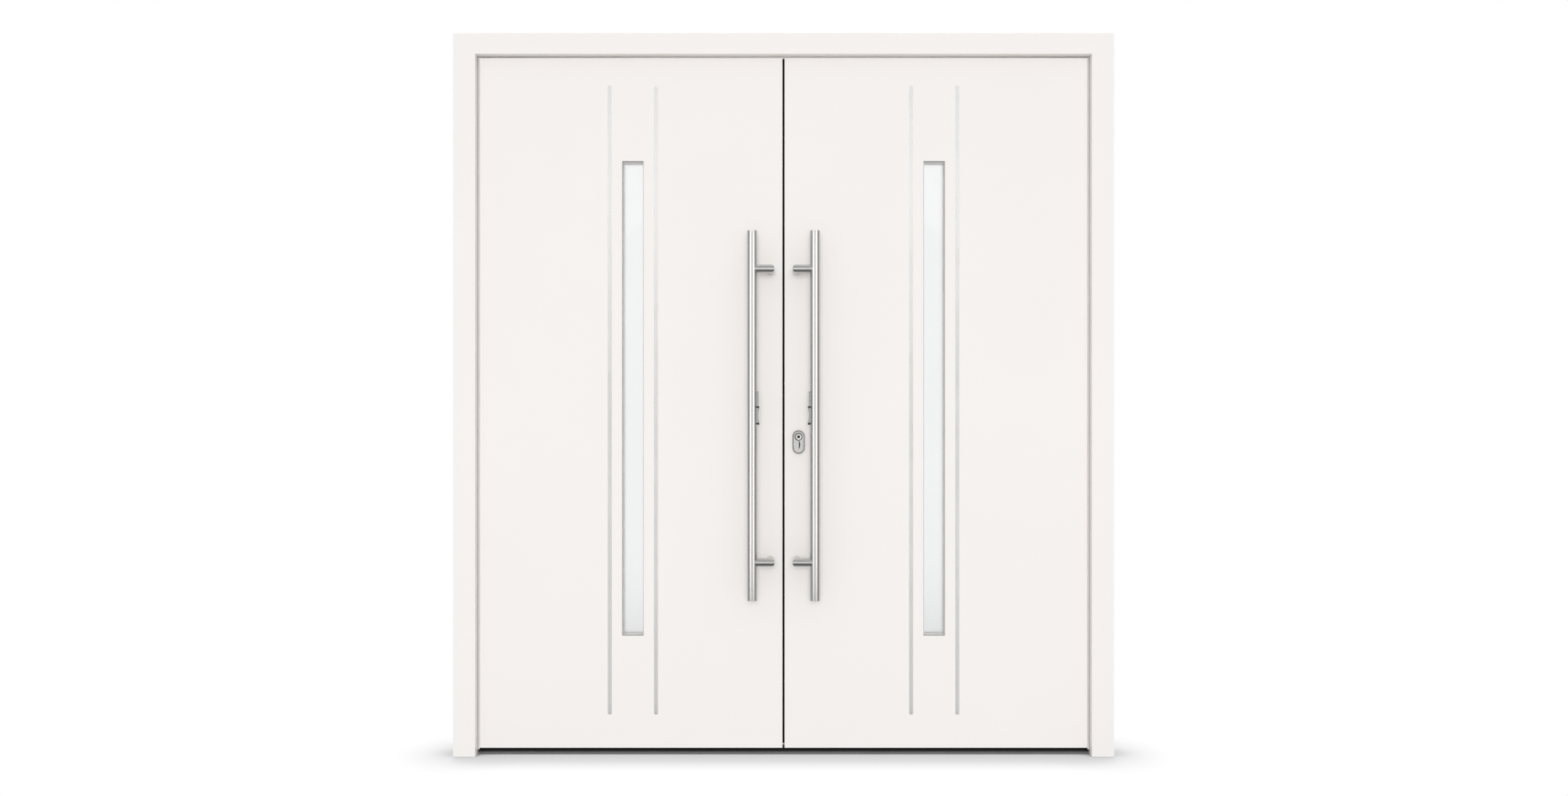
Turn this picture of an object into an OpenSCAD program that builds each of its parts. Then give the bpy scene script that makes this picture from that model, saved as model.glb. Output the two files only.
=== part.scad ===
// Double entrance door in its frame: two flush leaves that open inwards, each with a narrow glass strip,
// two inlay strips and a tall pull bar. Millimetres, Z up, front faces -Y.
// Origin: underside of the threshold, middle of the width and of the frame depth.

/* [Frame] */
// Overall width of the frame
frame_w = 2000; // [1800:10:2300]
// Overall height of the frame
frame_h = 2190; // [1900:10:2400]
// Depth of the frame profile, front to back
frame_depth = 90; // [80:1:110]
// Visible width of each jamb
jamb_face = 67; // [60:1:85]
// Visible height of the head
head_face = 62; // [55:1:80]
// How far the stop lip stands in front of the rear part of the profile
rebate_w = 22; // [20:1:26]
// Wall of the hollow profiles
profile_wall = 3; // [2:0.5:4]
// Height of the threshold
threshold_h = 14; // [10:1:16]
// Diameter of the wall fixing holes
anchor_d = 10.5; // [6:0.5:12]
// Distance of the first and last wall fixing from the ends of a jamb
anchor_inset = 195; // [120:5:300]
// Space for the gasket between the stop lip and the leaf
gasket_space = 4; // [3:0.5:6]

/* [Leaves] */
// Thickness of a leaf; the rest of the frame depth is the setback of its front face
leaf_t = 65; // [62:1:70]
// Thickness of the outer panel
outer_panel_t = 24; // [21:1:26]
// Thickness of the inner panel
inner_panel_t = 3; // [2:0.5:5]
// Shadow gap between the stop lip and the outer panel
shadow_gap = 7.5; // [5:0.5:10]
// Gap between a leaf and the rear part of the frame
edge_gap = 5; // [4:0.5:6]
// Gap between the two leaves
meeting_gap = 6.5; // [6:0.5:10]
// Gap between the leaves and the floor
floor_gap = 20; // [18:1:26]
// Width of the stile at the meeting edge
meeting_stile_w = 95; // [85:1:130]
// Width of the stile at the hinge edge
hinge_stile_w = 80; // [60:1:120]
// Height of the top rail
top_rail_h = 90; // [70:1:150]
// Height of the bottom rail
bottom_rail_h = 120; // [80:1:200]
// Chamfer on the front edges of the outer panel
panel_chamfer = 1; // [0.5:0.1:2]

/* [Glass and inlays] */
// Distance from the middle of the door to the middle of each glass strip
glass_x = 458.7; // [380:0.1:520]
// Visible width of the glass
glass_w = 65; // [40:1:120]
// Height of the lower edge of the glass above the floor
glass_z = 362; // [300:1:400]
// Distance from the top of the panel down to the upper edge of the glass
glass_drop = 312.5; // [250:0.5:500]
// Cover of the glass behind the panel on each side
glass_lap = 12; // [8:1:16]
// Thickness of each pane
pane_t = 4; // [3:0.5:6]
// Space between the panes
pane_space = 16; // [10:1:16]
// Distance of each inlay strip from the middle of the glass
inlay_offset = 70.3; // [66:0.1:90]
// Width of an inlay strip
inlay_w = 12; // [6:0.5:20]
// Depth of the inlay groove
inlay_groove = 2; // [1:0.1:3]
// How far the strip lies below the panel face
inlay_sunk = 0.3; // [0.1:0.1:0.8]
// Lower end of the inlay strips
inlay_z0 = 121; // [80:1:250]
// Distance from the top of the panel down to the upper end of the inlay strips
inlay_drop = 82.5; // [40:0.5:200]

/* [Pull bars] */
// Diameter of a pull bar
bar_d = 30; // [25:1:40]
// Wall of the pull bar tube
bar_wall = 2.5; // [1.5:0.5:4]
// Length of a pull bar
bar_l = 1104; // [900:1:1400]
// Height of the middle of the bar
bar_mid_z = 1033; // [950:1:1100]
// Distance from the middle of the door to the bar axis
bar_x = 94.2; // [88:0.1:140]
// Distance from the panel face to the bar axis
bar_standoff = 60; // [50:1:80]
// Diameter of the arms
arm_d = 25; // [18:1:25]
// Distance from the middle of the door to the foot of an arm
foot_x = 39.5; // [36:0.1:44]
// Distance between the two arms of a bar
arm_pitch = 881; // [700:1:900]
// Diameter of the bolts that hold the arms
bar_bolt_d = 10; // [6:1:10]
// Length of the finger reader
reader_h = 100; // [60:1:140]
// Width of the finger reader
reader_w = 17; // [12:1:20]
// How far the finger reader stands out from the bar
reader_out = 6.5; // [4:0.5:10]
// Height of the middle of the finger reader
reader_z = 1056; // [1000:1:1100]

/* [Lock] */
// Distance from the middle of the door to the lever and cylinder axes
lock_x = 45.8; // [44:0.1:52]
// Height of the cylinder axis
cylinder_z = 968; // [950:1:1000]
// Distance from the cylinder axis up to the lever axis
lever_rise = 92; // [92:1:96]
// Distance from the inner face of a leaf to the middle of the bolts
lock_inset = 26; // [25.5:0.5:27]
// Travel of the dead bolt and the auxiliary bolts
bolt_throw = 20; // [14:1:22]
// Travel of the latch
latch_throw = 12; // [10:1:14]
// Height of the dead bolt
dead_bolt_h = 34; // [28:1:36]
// Height of the latch
latch_h = 24; // [18:1:26]
// Thickness of the bolts
bolt_t = 11; // [8:0.5:12]
// Height of the lower auxiliary bolt
low_bolt_z = 330; // [320:1:420]
// Distance from the top of a leaf down to the upper auxiliary bolt
high_bolt_drop = 373; // [340:1:450]
// Width of the outer escutcheon
escutcheon_w = 37; // [33:1:44]
// Height of the outer escutcheon
escutcheon_h = 71; // [66:1:90]
// Length of the lever
lever_l = 130; // [110:1:150]
// Diameter of the lever
lever_d = 20; // [16:1:22]
// Distance from the inner panel to the lever axis
lever_standoff = 48; // [42:1:60]
// Diameter of the flush bolts of the passive leaf
flush_bolt_d = 10; // [8:1:10]
// Travel of the flush bolts
flush_throw = 13; // [10:1:13]
// Length of the flush bolts
flush_l = 230; // [180:1:240]

/* [Hinges] */
// Length of a hinge
hinge_h = 110; // [90:1:160]
// Outer radius of a hinge knuckle
knuckle_r = 8.5; // [7.5:0.1:9]
// Diameter of a hinge pin
pin_d = 10; // [8:0.5:11]
// Distance from the inner face of the frame to the hinge axis
hinge_out = 10; // [9.5:0.1:12]
// Width of a hinge wing
wing_w = 36; // [30:1:38]
// Thickness of a hinge wing
wing_t = 4; // [3:0.5:5]
// Distance of the outer hinges from the ends of the leaf
hinge_inset = 230; // [150:5:350]

/* [Fits] */
// Radial clearance of a turning fit
turn_fit = 0.05; // [0.03:0.01:0.09]
// Clearance around sliding bolts and through holes
slide_fit = 0.4; // [0.35:0.05:0.6]

/* [View] */
// Piece to draw

/* [Hidden] */
$fn = 64;
eps = 1;

half_w = frame_w / 2;
mid_v = frame_depth / 2;
open_x = half_w - jamb_face;
rear_x = open_x + rebate_w;
open_z = frame_h - head_face;
rear_h = round(10 * (jamb_face - rebate_w) * head_face / jamb_face) / 10;
rear_z = frame_h - rear_h;
leaf_setback = frame_depth - leaf_t;
panel_v1 = leaf_setback + outer_panel_t;
lip_depth = panel_v1 - gasket_space;
lock_v = frame_depth - lock_inset;
gasket_in = 9;
gasket_x = open_x + gasket_in;
gasket_w = 5;
gasket_fit = 0.1;
gasket_groove = 4;
gasket_head_w = 9;
gasket_clear = 0.3;

meet_x = meeting_gap / 2;
panel_x1 = open_x - shadow_gap;
panel_z1 = open_z - shadow_gap;
body_x1 = rear_x - edge_gap;
body_z1 = rear_z - edge_gap;
inner_v0 = frame_depth - inner_panel_t;

glass_x0 = glass_x - glass_w / 2;
glass_x1 = glass_x + glass_w / 2;
glass_z1 = panel_z1 - glass_drop;
inlay_z1 = panel_z1 - inlay_drop;
pane_v1 = panel_v1 + pane_t;
pane_v2 = pane_v1 + pane_space;
pane_v3 = pane_v2 + pane_t;
spacer_w = 8;

bar_v = leaf_setback - bar_standoff;
bar_r = bar_d / 2;
arm_r = arm_d / 2;
bar_z0 = bar_mid_z - bar_l / 2;
bar_z1 = bar_mid_z + bar_l / 2;
arm_zs = [bar_mid_z - arm_pitch / 2, bar_mid_z + arm_pitch / 2];
bolt_grip = 18;
bolt_cap_d = 20;
bolt_cap_t = 3;
cap_plug = 12;
cap_lip = 3;

plate_t = 3;
plate_w = 20;
plate_x = meet_x + plate_t;
lever_z = cylinder_z + lever_rise;
dead_rise = 44;
dead_z = cylinder_z + dead_rise;
latch_rise = 4;
latch_z = lever_z + latch_rise;
high_bolt_z = body_z1 - high_bolt_drop;
faceplate_past = 130;
faceplate_z0 = low_bolt_z - faceplate_past;
faceplate_z1 = high_bolt_z + faceplate_past;
case_wall = 1.5;
case_t = 16;
case_back = 22;
case_below = 60;
case_above = 50;
case_x1 = lock_x + case_back;
case_z0 = cylinder_z - case_below;
case_z1 = lever_z + case_above;
bolt_sunk = 0.2;
bolt_x0 = meet_x + bolt_sunk;
dead_l = 34;
follower_r = 10.5;
follower_t = 12;
follower_clear = 4.5;
latch_l = lock_x - meet_x - follower_r - follower_clear;
aux_d = 14;
keep_deep = 4;
strike_margin = 40;

profile_r = 8.5;
profile_lobe_r = 5;
profile_drop = 19.5;
cam_w = 10;
cam_v0 = lock_v - cam_w / 2;
cam_v1 = lock_v + cam_w / 2;
cam_reach = 15;
cam_clear = 0.5;
plug_r = 6.5;
cylinder_out = 6;
cylinder_in = 9;
cylinder_v0 = leaf_setback - cylinder_out;
cylinder_v1 = frame_depth + cylinder_in;
keyway_w = 2.6;
keyway_h = 9;
keyway_deep = 26;

escutcheon_t = 8;
escutcheon_r = escutcheon_w / 2;
escutcheon_drop = 16;
escutcheon_z = cylinder_z - escutcheon_drop;
escutcheon_z0 = escutcheon_z - escutcheon_h / 2;
escutcheon_z1 = escutcheon_z + escutcheon_h / 2;
escutcheon_v0 = leaf_setback - escutcheon_t;
rim_chamfer = 1.5;
dish_r = 12.5;
groove_h = 27.6;
groove_w = 5;
groove_bow = 1;
groove_deep = 1.2;
groove_drop = 8;
groove_z = escutcheon_z - groove_drop;
entry_r = 3.8;
entry_deep = 1.4;
handle_plate_t = 8;
handle_plate_w = 38;
handle_plate_below = 58;
handle_plate_above = 48;
handle_plate_z0 = cylinder_z - handle_plate_below;
handle_plate_z1 = lever_z + handle_plate_above;
spindle_w = 8;
spindle_hole_r = 7;
spindle_reach = 26;
neck_r = 9;
neck_clear = 1;
lever_v = frame_depth + lever_standoff;
lever_r = lever_d / 2;

flush_back = 8;
flush_x = -(plate_x + flush_back);
flush_r = flush_bolt_d / 2;
flush_tip = 1;
flush_thumb_h = 26;
flush_thumb_w = 7;
flush_thumb_sunk = 0.5;
flush_plate_past = 30;
flush_plate_run = 85;
flush_top_z1 = body_z1 - flush_tip;
flush_top_z0 = flush_top_z1 - flush_l;
flush_low_z0 = floor_gap + flush_tip;
flush_low_z1 = flush_low_z0 + flush_l;
keep_t = 2.5;
keep_w = 24;
keep_l = 80;

axis_x = (rear_x + body_x1) / 2;
axis_v = frame_depth + hinge_out;
knuckle_gap = 0.5;
wing_gap = 0.5;
knuckle_h = hinge_h / 3;
pin_head_in = 0.5;
pin_head_r = knuckle_r - pin_head_in;
pin_head_h = 4;
hinge_zs = [
    floor_gap + hinge_inset,
    (floor_gap + body_z1) / 2,
    body_z1 - hinge_inset
];
anchor_pitch = (frame_h - 2 * anchor_inset) / 3;
anchor_zs = [for (i = [0:3]) anchor_inset + i * anchor_pitch];

seal_inset = 9;
seal_v = frame_depth - seal_inset;
seal_w = 6;
seal_deep = 5;
seal_short = 0.26;
sweep_inset = 12;
sweep_v = frame_depth - sweep_inset;
sweep_w = 5;
sweep_deep = 6;
sweep_clear = 0.4;
sweep_end = 12;

paint = [0.96, 0.94, 0.93];
steel = [0.72, 0.72, 0.71];
brass = [0.78, 0.76, 0.70];
rubber = [0.06, 0.06, 0.06];
grey_rubber = [0.55, 0.55, 0.54];
dark = [0.14, 0.14, 0.14];
alloy = [0.55, 0.55, 0.56];
foam = [0.93, 0.90, 0.80];
frost = [0.93, 0.94, 0.94];

// A box between two corners; v is the depth from the front of the frame
module box(x0, x1, v0, v1, z0, z1) {
    translate([x0, v0 - mid_v, z0])
        cube([x1 - x0, v1 - v0, z1 - z0]);
}

// A round bar along the depth, centred on x and z
module rod_v(x, z, r, v0, v1) {
    translate([x, v0 - mid_v, z])
        rotate([-90, 0, 0])
            cylinder(r = r, h = v1 - v0);
}

// A round cone along the depth, r0 wide in front and r1 behind
module cone_v(x, z, r0, r1, v0, v1) {
    translate([x, v0 - mid_v, z])
        rotate([-90, 0, 0])
            cylinder(r1 = r0, r2 = r1, h = v1 - v0);
}

// A round bar along the width, centred on v and z
module rod_x(x0, x1, v, z, r) {
    translate([x0, v - mid_v, z])
        rotate([0, 90, 0])
            cylinder(r = r, h = x1 - x0);
}

// A round bar along the height, centred on x and v
module rod_z(x, v, r, z0, z1) {
    translate([x, v - mid_v, z0])
        cylinder(r = r, h = z1 - z0);
}

// A flat outline in x and z, raised along the depth
module plate_v(v0, v1) {
    translate([0, v1 - mid_v, 0])
        rotate([90, 0, 0])
            linear_extrude(height = v1 - v0)
                children();
}

// Right side as drawn, left side as its mirror image
module on_side(side) {
    mirror([side < 0 ? 1 : 0, 0, 0])
        children();
}

// An upright slot outline with round ends
module slot_outline(x, z0, z1, r) {
    translate([x - r, z0 + r])
        square([2 * r, z1 - z0 - 2 * r]);
    translate([x, z0 + r])
        circle(r = r);
    translate([x, z1 - r])
        circle(r = r);
}

// Section of the frame profile in x and v, with its two chambers and the gasket groove
module jamb_section() {
    web = lip_depth - gasket_groove - profile_wall;
    difference() {
        polygon([
            [half_w, 0],
            [open_x, 0],
            [open_x, lip_depth],
            [rear_x, lip_depth],
            [rear_x, frame_depth],
            [half_w, frame_depth]
        ]);
        translate([open_x + profile_wall, profile_wall])
            square([jamb_face - 2 * profile_wall, web - profile_wall]);
        translate([rear_x + profile_wall, web + profile_wall])
            square([half_w - rear_x - 2 * profile_wall, frame_depth - web - 2 * profile_wall]);
        translate([gasket_x - gasket_w / 2, lip_depth - gasket_groove])
            square([gasket_w, gasket_groove + eps]);
    }
}

// Upright profile, cut on the mitre at the top
module jamb(side) {
    on_side(side)
        difference() {
            intersection() {
                translate([0, -mid_v, 0])
                    linear_extrude(height = frame_h)
                        jamb_section();
                plate_v(-eps, frame_depth + eps)
                    polygon([
                        [half_w, 0],
                        [half_w, frame_h],
                        [open_x, open_z],
                        [open_x, 0]
                    ]);
            }
            for (z = anchor_zs)
                rod_x(rear_x - eps, half_w + eps, lock_v, z, anchor_d / 2);
        }
}

// Section of the head in height below the top and v, in proportion to the jamb so that the mitres close
module head_section() {
    k = head_face / jamb_face;
    web = lip_depth - gasket_groove - profile_wall;
    difference() {
        polygon([
            [0, 0],
            [head_face, 0],
            [head_face, lip_depth],
            [rear_h, lip_depth],
            [rear_h, frame_depth],
            [0, frame_depth]
        ]);
        translate([profile_wall * k, profile_wall])
            square([head_face - 2 * profile_wall * k, web - profile_wall]);
        translate([profile_wall * k, web + profile_wall])
            square([rear_h - 2 * profile_wall * k, frame_depth - web - 2 * profile_wall]);
        translate([head_face - (gasket_x - open_x + gasket_w / 2) * k, lip_depth - gasket_groove])
            square([gasket_w * k, gasket_groove + eps]);
    }
}

// Gasket band round three sides; k scales its width at the top so that the mitres close
module gasket_band(w, v0, v1) {
    k = head_face / jamb_face;
    outer_x = gasket_x + w / 2;
    inner_x = gasket_x - w / 2;
    outer_z = open_z + (outer_x - open_x) * k;
    inner_z = open_z + (inner_x - open_x) * k;
    difference() {
        box(-outer_x, outer_x, v0, v1, threshold_h, outer_z);
        box(-inner_x, inner_x, v0 - eps, v1 + eps, threshold_h - eps, inner_z);
    }
}

// One hinge wing with its knuckles; the frame wing has the two outer knuckles, the leaf wing the middle one
module hinge_wing(z, of_frame) {
    dir = of_frame ? 1 : -1;
    reach = knuckle_r + wing_gap;
    z0 = z - hinge_h / 2;
    steps = of_frame ? [0, 2] : [1];
    near = axis_x + dir * reach;
    far = axis_x + dir * (reach + wing_w - knuckle_r);
    root = of_frame ? rear_x : body_x1;
    difference() {
        union() {
            box(min(near, far), max(near, far), frame_depth, frame_depth + wing_t, z0, z0 + hinge_h);
            for (s = steps) {
                low = z0 + s * knuckle_h + (s == 1 ? knuckle_gap : 0);
                high = z0 + (s + 1) * knuckle_h - (s == 1 ? knuckle_gap : 0);
                rod_z(axis_x, axis_v, knuckle_r, low, high);
                box(
                    min(root, near + dir), max(root, near + dir),
                    frame_depth, frame_depth + wing_t, low, high
                );
            }
        }
        rod_z(axis_x, axis_v, pin_d / 2 + turn_fit, z0 - eps, z0 + hinge_h + eps);
    }
}

// Hinge wings of one side, all three hinges
module hinge_wings(side, of_frame) {
    on_side(side)
        for (z = hinge_zs)
            hinge_wing(z, of_frame);
}

// Hinge pins of one side, each with a head at both ends
module hinge_pins(side) {
    on_side(side)
        for (z = hinge_zs) {
            rod_z(axis_x, axis_v, pin_d / 2, z - hinge_h / 2, z + hinge_h / 2);
            rod_z(axis_x, axis_v, pin_head_r, z + hinge_h / 2, z + hinge_h / 2 + pin_head_h);
            rod_z(axis_x, axis_v, pin_head_r, z - hinge_h / 2 - pin_head_h, z - hinge_h / 2);
        }
}

// Holes for the bolts of the pull bar, through the whole leaf
module bar_bolt_holes() {
    for (z = arm_zs)
        rod_v(foot_x, z, bar_bolt_d / 2 + slide_fit, leaf_setback - eps, frame_depth + eps);
}

// Profile of the lock cylinder in x and z, grown by a clearance
module cylinder_profile(grow) {
    translate([lock_x, cylinder_z])
        circle(r = profile_r + grow);
    translate([lock_x - profile_lobe_r - grow, cylinder_z - profile_drop])
        square([2 * (profile_lobe_r + grow), profile_drop]);
    translate([lock_x, cylinder_z - profile_drop])
        circle(r = profile_lobe_r + grow);
}

// Two inlay grooves or strips with round ends beside the glass, shrunk by a clearance
module inlays(v0, v1, shrink) {
    for (s = [-1, 1])
        plate_v(v0, v1)
            slot_outline(
                glass_x + s * inlay_offset, inlay_z0 + shrink, inlay_z1 - shrink, inlay_w / 2 - shrink
            );
}

// Chamfer wedge along one front edge: a square bar turned by 45 degrees
module chamfer_bar(length) {
    side = panel_chamfer * sqrt(2);
    translate([0, 0, -eps])
        rotate([0, 0, 45])
            translate([-side / 2, -side / 2, 0])
                cube([side, side, length + 2 * eps]);
}

// Outer panel with the glass cut-out, inlay grooves and bolt holes
module outer_panel(side) {
    on_side(side)
        difference() {
            box(meet_x, panel_x1, leaf_setback, panel_v1, floor_gap, panel_z1);
            box(glass_x0, glass_x1, leaf_setback - eps, panel_v1 + eps, glass_z, glass_z1);
            inlays(leaf_setback - eps, leaf_setback + inlay_groove, 0);
            bar_bolt_holes();
            for (x = [meet_x, panel_x1])
                translate([x, leaf_setback - mid_v, floor_gap])
                    chamfer_bar(panel_z1 - floor_gap);
            for (z = [floor_gap, panel_z1])
                translate([meet_x, leaf_setback - mid_v, z])
                    rotate([0, 90, 0])
                        chamfer_bar(panel_x1 - meet_x);
            if (side > 0)
                plate_v(leaf_setback - eps, panel_v1 + eps)
                    cylinder_profile(slide_fit);
        }
}

// Stiles and rails of one leaf with the seal grooves
module leaf_frame(side) {
    on_side(side)
        difference() {
            box(meet_x, body_x1, panel_v1, inner_v0, floor_gap, body_z1);
            box(
                meet_x + meeting_stile_w, body_x1 - hinge_stile_w,
                panel_v1 - eps, inner_v0 + eps,
                floor_gap + bottom_rail_h, body_z1 - top_rail_h
            );
            bar_bolt_holes();
            box(
                meet_x - eps, meet_x + seal_deep,
                seal_v - seal_w / 2, seal_v + seal_w / 2,
                floor_gap - eps, body_z1 + eps
            );
            box(
                meet_x + sweep_end, body_x1 - sweep_end,
                sweep_v - sweep_w / 2, sweep_v + sweep_w / 2,
                floor_gap - eps, floor_gap + sweep_deep
            );
        }
}

// Insulating core between the stiles and rails
module core(side) {
    on_side(side)
        difference() {
            box(
                meet_x + meeting_stile_w, body_x1 - hinge_stile_w,
                panel_v1, inner_v0,
                floor_gap + bottom_rail_h, body_z1 - top_rail_h
            );
            box(
                glass_x0 - glass_lap, glass_x1 + glass_lap,
                panel_v1 - eps, inner_v0 + eps,
                glass_z - glass_lap, glass_z1 + glass_lap
            );
        }
}

// Inner panel, cut out for the glazing bead
module inner_panel(side) {
    on_side(side)
        difference() {
            box(meet_x, body_x1, inner_v0, frame_depth, floor_gap, body_z1);
            box(
                glass_x0 - glass_lap, glass_x1 + glass_lap,
                inner_v0 - eps, frame_depth + eps,
                glass_z - glass_lap, glass_z1 + glass_lap
            );
            bar_bolt_holes();
            if (side > 0) {
                plate_v(inner_v0 - eps, frame_depth + eps)
                    cylinder_profile(slide_fit);
                rod_v(lock_x, lever_z, spindle_hole_r, inner_v0 - eps, frame_depth + eps);
            }
        }
}

// Two panes of the sealed glass unit
module glass_panes(side) {
    on_side(side)
        for (v = [panel_v1, pane_v2])
            box(
                glass_x0 - glass_lap, glass_x1 + glass_lap, v, v + pane_t,
                glass_z - glass_lap, glass_z1 + glass_lap
            );
}

// A rectangular ring round the glass, w wide
module glass_ring(side, v0, v1, w) {
    on_side(side)
        difference() {
            box(
                glass_x0 - glass_lap, glass_x1 + glass_lap, v0, v1,
                glass_z - glass_lap, glass_z1 + glass_lap
            );
            box(
                glass_x0 - glass_lap + w, glass_x1 + glass_lap - w, v0 - eps, v1 + eps,
                glass_z - glass_lap + w, glass_z1 + glass_lap - w
            );
        }
}

// Tube of the pull bar
module pull_bar(side) {
    on_side(side)
        difference() {
            rod_z(bar_x, bar_v, bar_r, bar_z0, bar_z1);
            rod_z(bar_x, bar_v, bar_r - bar_wall, bar_z0 - eps, bar_z1 + eps);
        }
}

// End caps of the pull bar, each with a plug inside the tube
module bar_caps(side) {
    plug = bar_r - bar_wall - turn_fit;
    on_side(side) {
        rod_z(bar_x, bar_v, bar_r, bar_z1, bar_z1 + cap_lip);
        rod_z(bar_x, bar_v, plug, bar_z1 - cap_plug, bar_z1);
        rod_z(bar_x, bar_v, bar_r, bar_z0 - cap_lip, bar_z0);
        rod_z(bar_x, bar_v, plug, bar_z0, bar_z0 + cap_plug);
    }
}

// Mitred elbow arm: level from the bar, then square into the leaf, hollowed for the bolt and coped to the bar
module elbow_arm(z) {
    far = 2 * (bar_x + bar_standoff);
    difference() {
        union() {
            intersection() {
                rod_x(foot_x - arm_r, bar_x, bar_v, z, arm_r);
                translate([foot_x, bar_v - mid_v, z - arm_r - eps])
                    linear_extrude(height = arm_d + 2 * eps)
                        polygon([[-far, -far], [far, -far], [far, far]]);
            }
            intersection() {
                rod_v(foot_x, z, arm_r, bar_v - arm_r, leaf_setback);
                translate([foot_x, bar_v - mid_v, z - arm_r - eps])
                    linear_extrude(height = arm_d + 2 * eps)
                        polygon([[-far, -far], [far, far], [-far, far]]);
            }
        }
        rod_v(foot_x, z, bar_bolt_d / 2 + turn_fit, leaf_setback - bolt_grip - eps, leaf_setback + eps);
        rod_z(bar_x, bar_v, bar_r, z - arm_d, z + arm_d);
    }
}

// Both arms of one bar
module bar_arms(side) {
    on_side(side)
        for (z = arm_zs)
            elbow_arm(z);
}

// Bolts from the inside of the leaf into the feet of the arms
module bar_bolts(side) {
    on_side(side)
        for (z = arm_zs) {
            rod_v(foot_x, z, bar_bolt_d / 2, leaf_setback - bolt_grip, frame_depth);
            rod_v(foot_x, z, bolt_cap_d / 2, frame_depth, frame_depth + bolt_cap_t);
        }
}

// Finger reader saddled on the side of the bar that faces the middle: a thinner upper half,
// and a finger hollow below it with a ridge at each end
module finger_reader(side) {
    face_x = bar_x - bar_r - reader_out;
    upper_step = 2.5;
    ridge = 5.5;
    hollow_deep = 3;
    hollow_half = (reader_h / 2 - ridge) / 2;
    hollow_r = (hollow_half * hollow_half + hollow_deep * hollow_deep) / (2 * hollow_deep);
    on_side(side)
        difference() {
            translate([0, bar_v - mid_v, reader_z])
                rotate([0, 90, 0])
                    translate([0, 0, face_x])
                        linear_extrude(height = bar_x - face_x)
                            rotate([0, 0, 90])
                                slot_outline(0, -reader_h / 2, reader_h / 2, reader_w / 2);
            rod_z(bar_x, bar_v, bar_r, reader_z - reader_h, reader_z + reader_h);
            box(
                face_x - eps, face_x + upper_step, bar_v - reader_w, bar_v + reader_w,
                reader_z + ridge, reader_z + reader_h
            );
            rod_v(
                face_x + hollow_deep - hollow_r, reader_z - hollow_half, hollow_r,
                bar_v - reader_w, bar_v + reader_w
            );
        }
}

// Sealing strip in the groove of a meeting edge
module meeting_seal(side) {
    on_side(side)
        box(
            seal_short, meet_x + seal_deep,
            seal_v - seal_w / 2, seal_v + seal_w / 2,
            floor_gap, body_z1
        );
}

// Sealing strip under a leaf, just clear of the threshold
module bottom_seal(side) {
    on_side(side)
        box(
            meet_x + sweep_end, body_x1 - sweep_end,
            sweep_v - sweep_w / 2, sweep_v + sweep_w / 2,
            threshold_h + sweep_clear, floor_gap + sweep_deep
        );
}

// Chamfered front layer of the escutcheon: a cone at each end and a straight run between them
module escutcheon_rim() {
    inner_r = escutcheon_r - rim_chamfer;
    for (z = [escutcheon_z0 + escutcheon_r, escutcheon_z1 - escutcheon_r])
        cone_v(lock_x, z, inner_r, escutcheon_r, escutcheon_v0, escutcheon_v0 + rim_chamfer);
    translate([lock_x, escutcheon_v0 - mid_v, escutcheon_z0 + escutcheon_r])
        linear_extrude(height = escutcheon_h - 2 * escutcheon_r)
            polygon([
                [-inner_r, 0],
                [inner_r, 0],
                [escutcheon_r, rim_chamfer],
                [-escutcheon_r, rim_chamfer]
            ]);
}

// Crescent outline of the finger groove below the cylinder, bowed away from the middle of the door
module finger_groove() {
    half = groove_h / 2;
    outer_r = (half * half + groove_w * groove_w) / (2 * groove_w);
    inner_r = (half * half + groove_bow * groove_bow) / (2 * groove_bow);
    difference() {
        translate([lock_x + groove_w - outer_r, groove_z])
            circle(r = outer_r);
        translate([lock_x + groove_bow - inner_r, groove_z])
            circle(r = inner_r);
    }
}

// Space of a sliding bolt through a plate or a pocket, on the side of the middle given by side
module bolt_space(side, z, h, t, deep) {
    on_side(side)
        box(
            meet_x - eps, meet_x + deep,
            lock_v - t / 2 - slide_fit, lock_v + t / 2 + slide_fit,
            z - h / 2 - slide_fit, z + h / 2 + slide_fit
        );
}

// Space of every bolt of the lock
module bolt_spaces(side, deep) {
    bolt_space(side, dead_z, dead_bolt_h, bolt_t, deep);
    bolt_space(side, latch_z, latch_h, bolt_t, deep);
    bolt_space(side, low_bolt_z, aux_d, aux_d, deep);
    bolt_space(side, high_bolt_z, aux_d, aux_d, deep);
}

// Outline box of an edge plate on the meeting edge
module edge_plate(side, z0, z1) {
    on_side(side)
        box(meet_x, plate_x, lock_v - plate_w / 2, lock_v + plate_w / 2, z0, z1);
}

// Height ranges of the three strike plates on the passive leaf
strike_spans = [
    [low_bolt_z - strike_margin, low_bolt_z + strike_margin],
    [dead_z - strike_margin, latch_z + strike_margin],
    [high_bolt_z - strike_margin, high_bolt_z + strike_margin]
];

// Height ranges of the two flush bolt plates on the passive leaf
flush_spans = [
    [flush_low_z1 - flush_plate_run, flush_low_z1 + flush_plate_past],
    [flush_top_z0 - flush_plate_past, flush_top_z0 + flush_plate_run]
];

// Slots in which the thumb pieces of the flush bolts slide
module flush_slots(x0, x1) {
    box(
        x0, x1, lock_v - flush_thumb_w / 2 - slide_fit, lock_v + flush_thumb_w / 2 + slide_fit,
        flush_low_z1 - flush_thumb_h - flush_throw - slide_fit, flush_low_z1 + slide_fit
    );
    box(
        x0, x1, lock_v - flush_thumb_w / 2 - slide_fit, lock_v + flush_thumb_w / 2 + slide_fit,
        flush_top_z0 - slide_fit, flush_top_z0 + flush_thumb_h + flush_throw + slide_fit
    );
}

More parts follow.
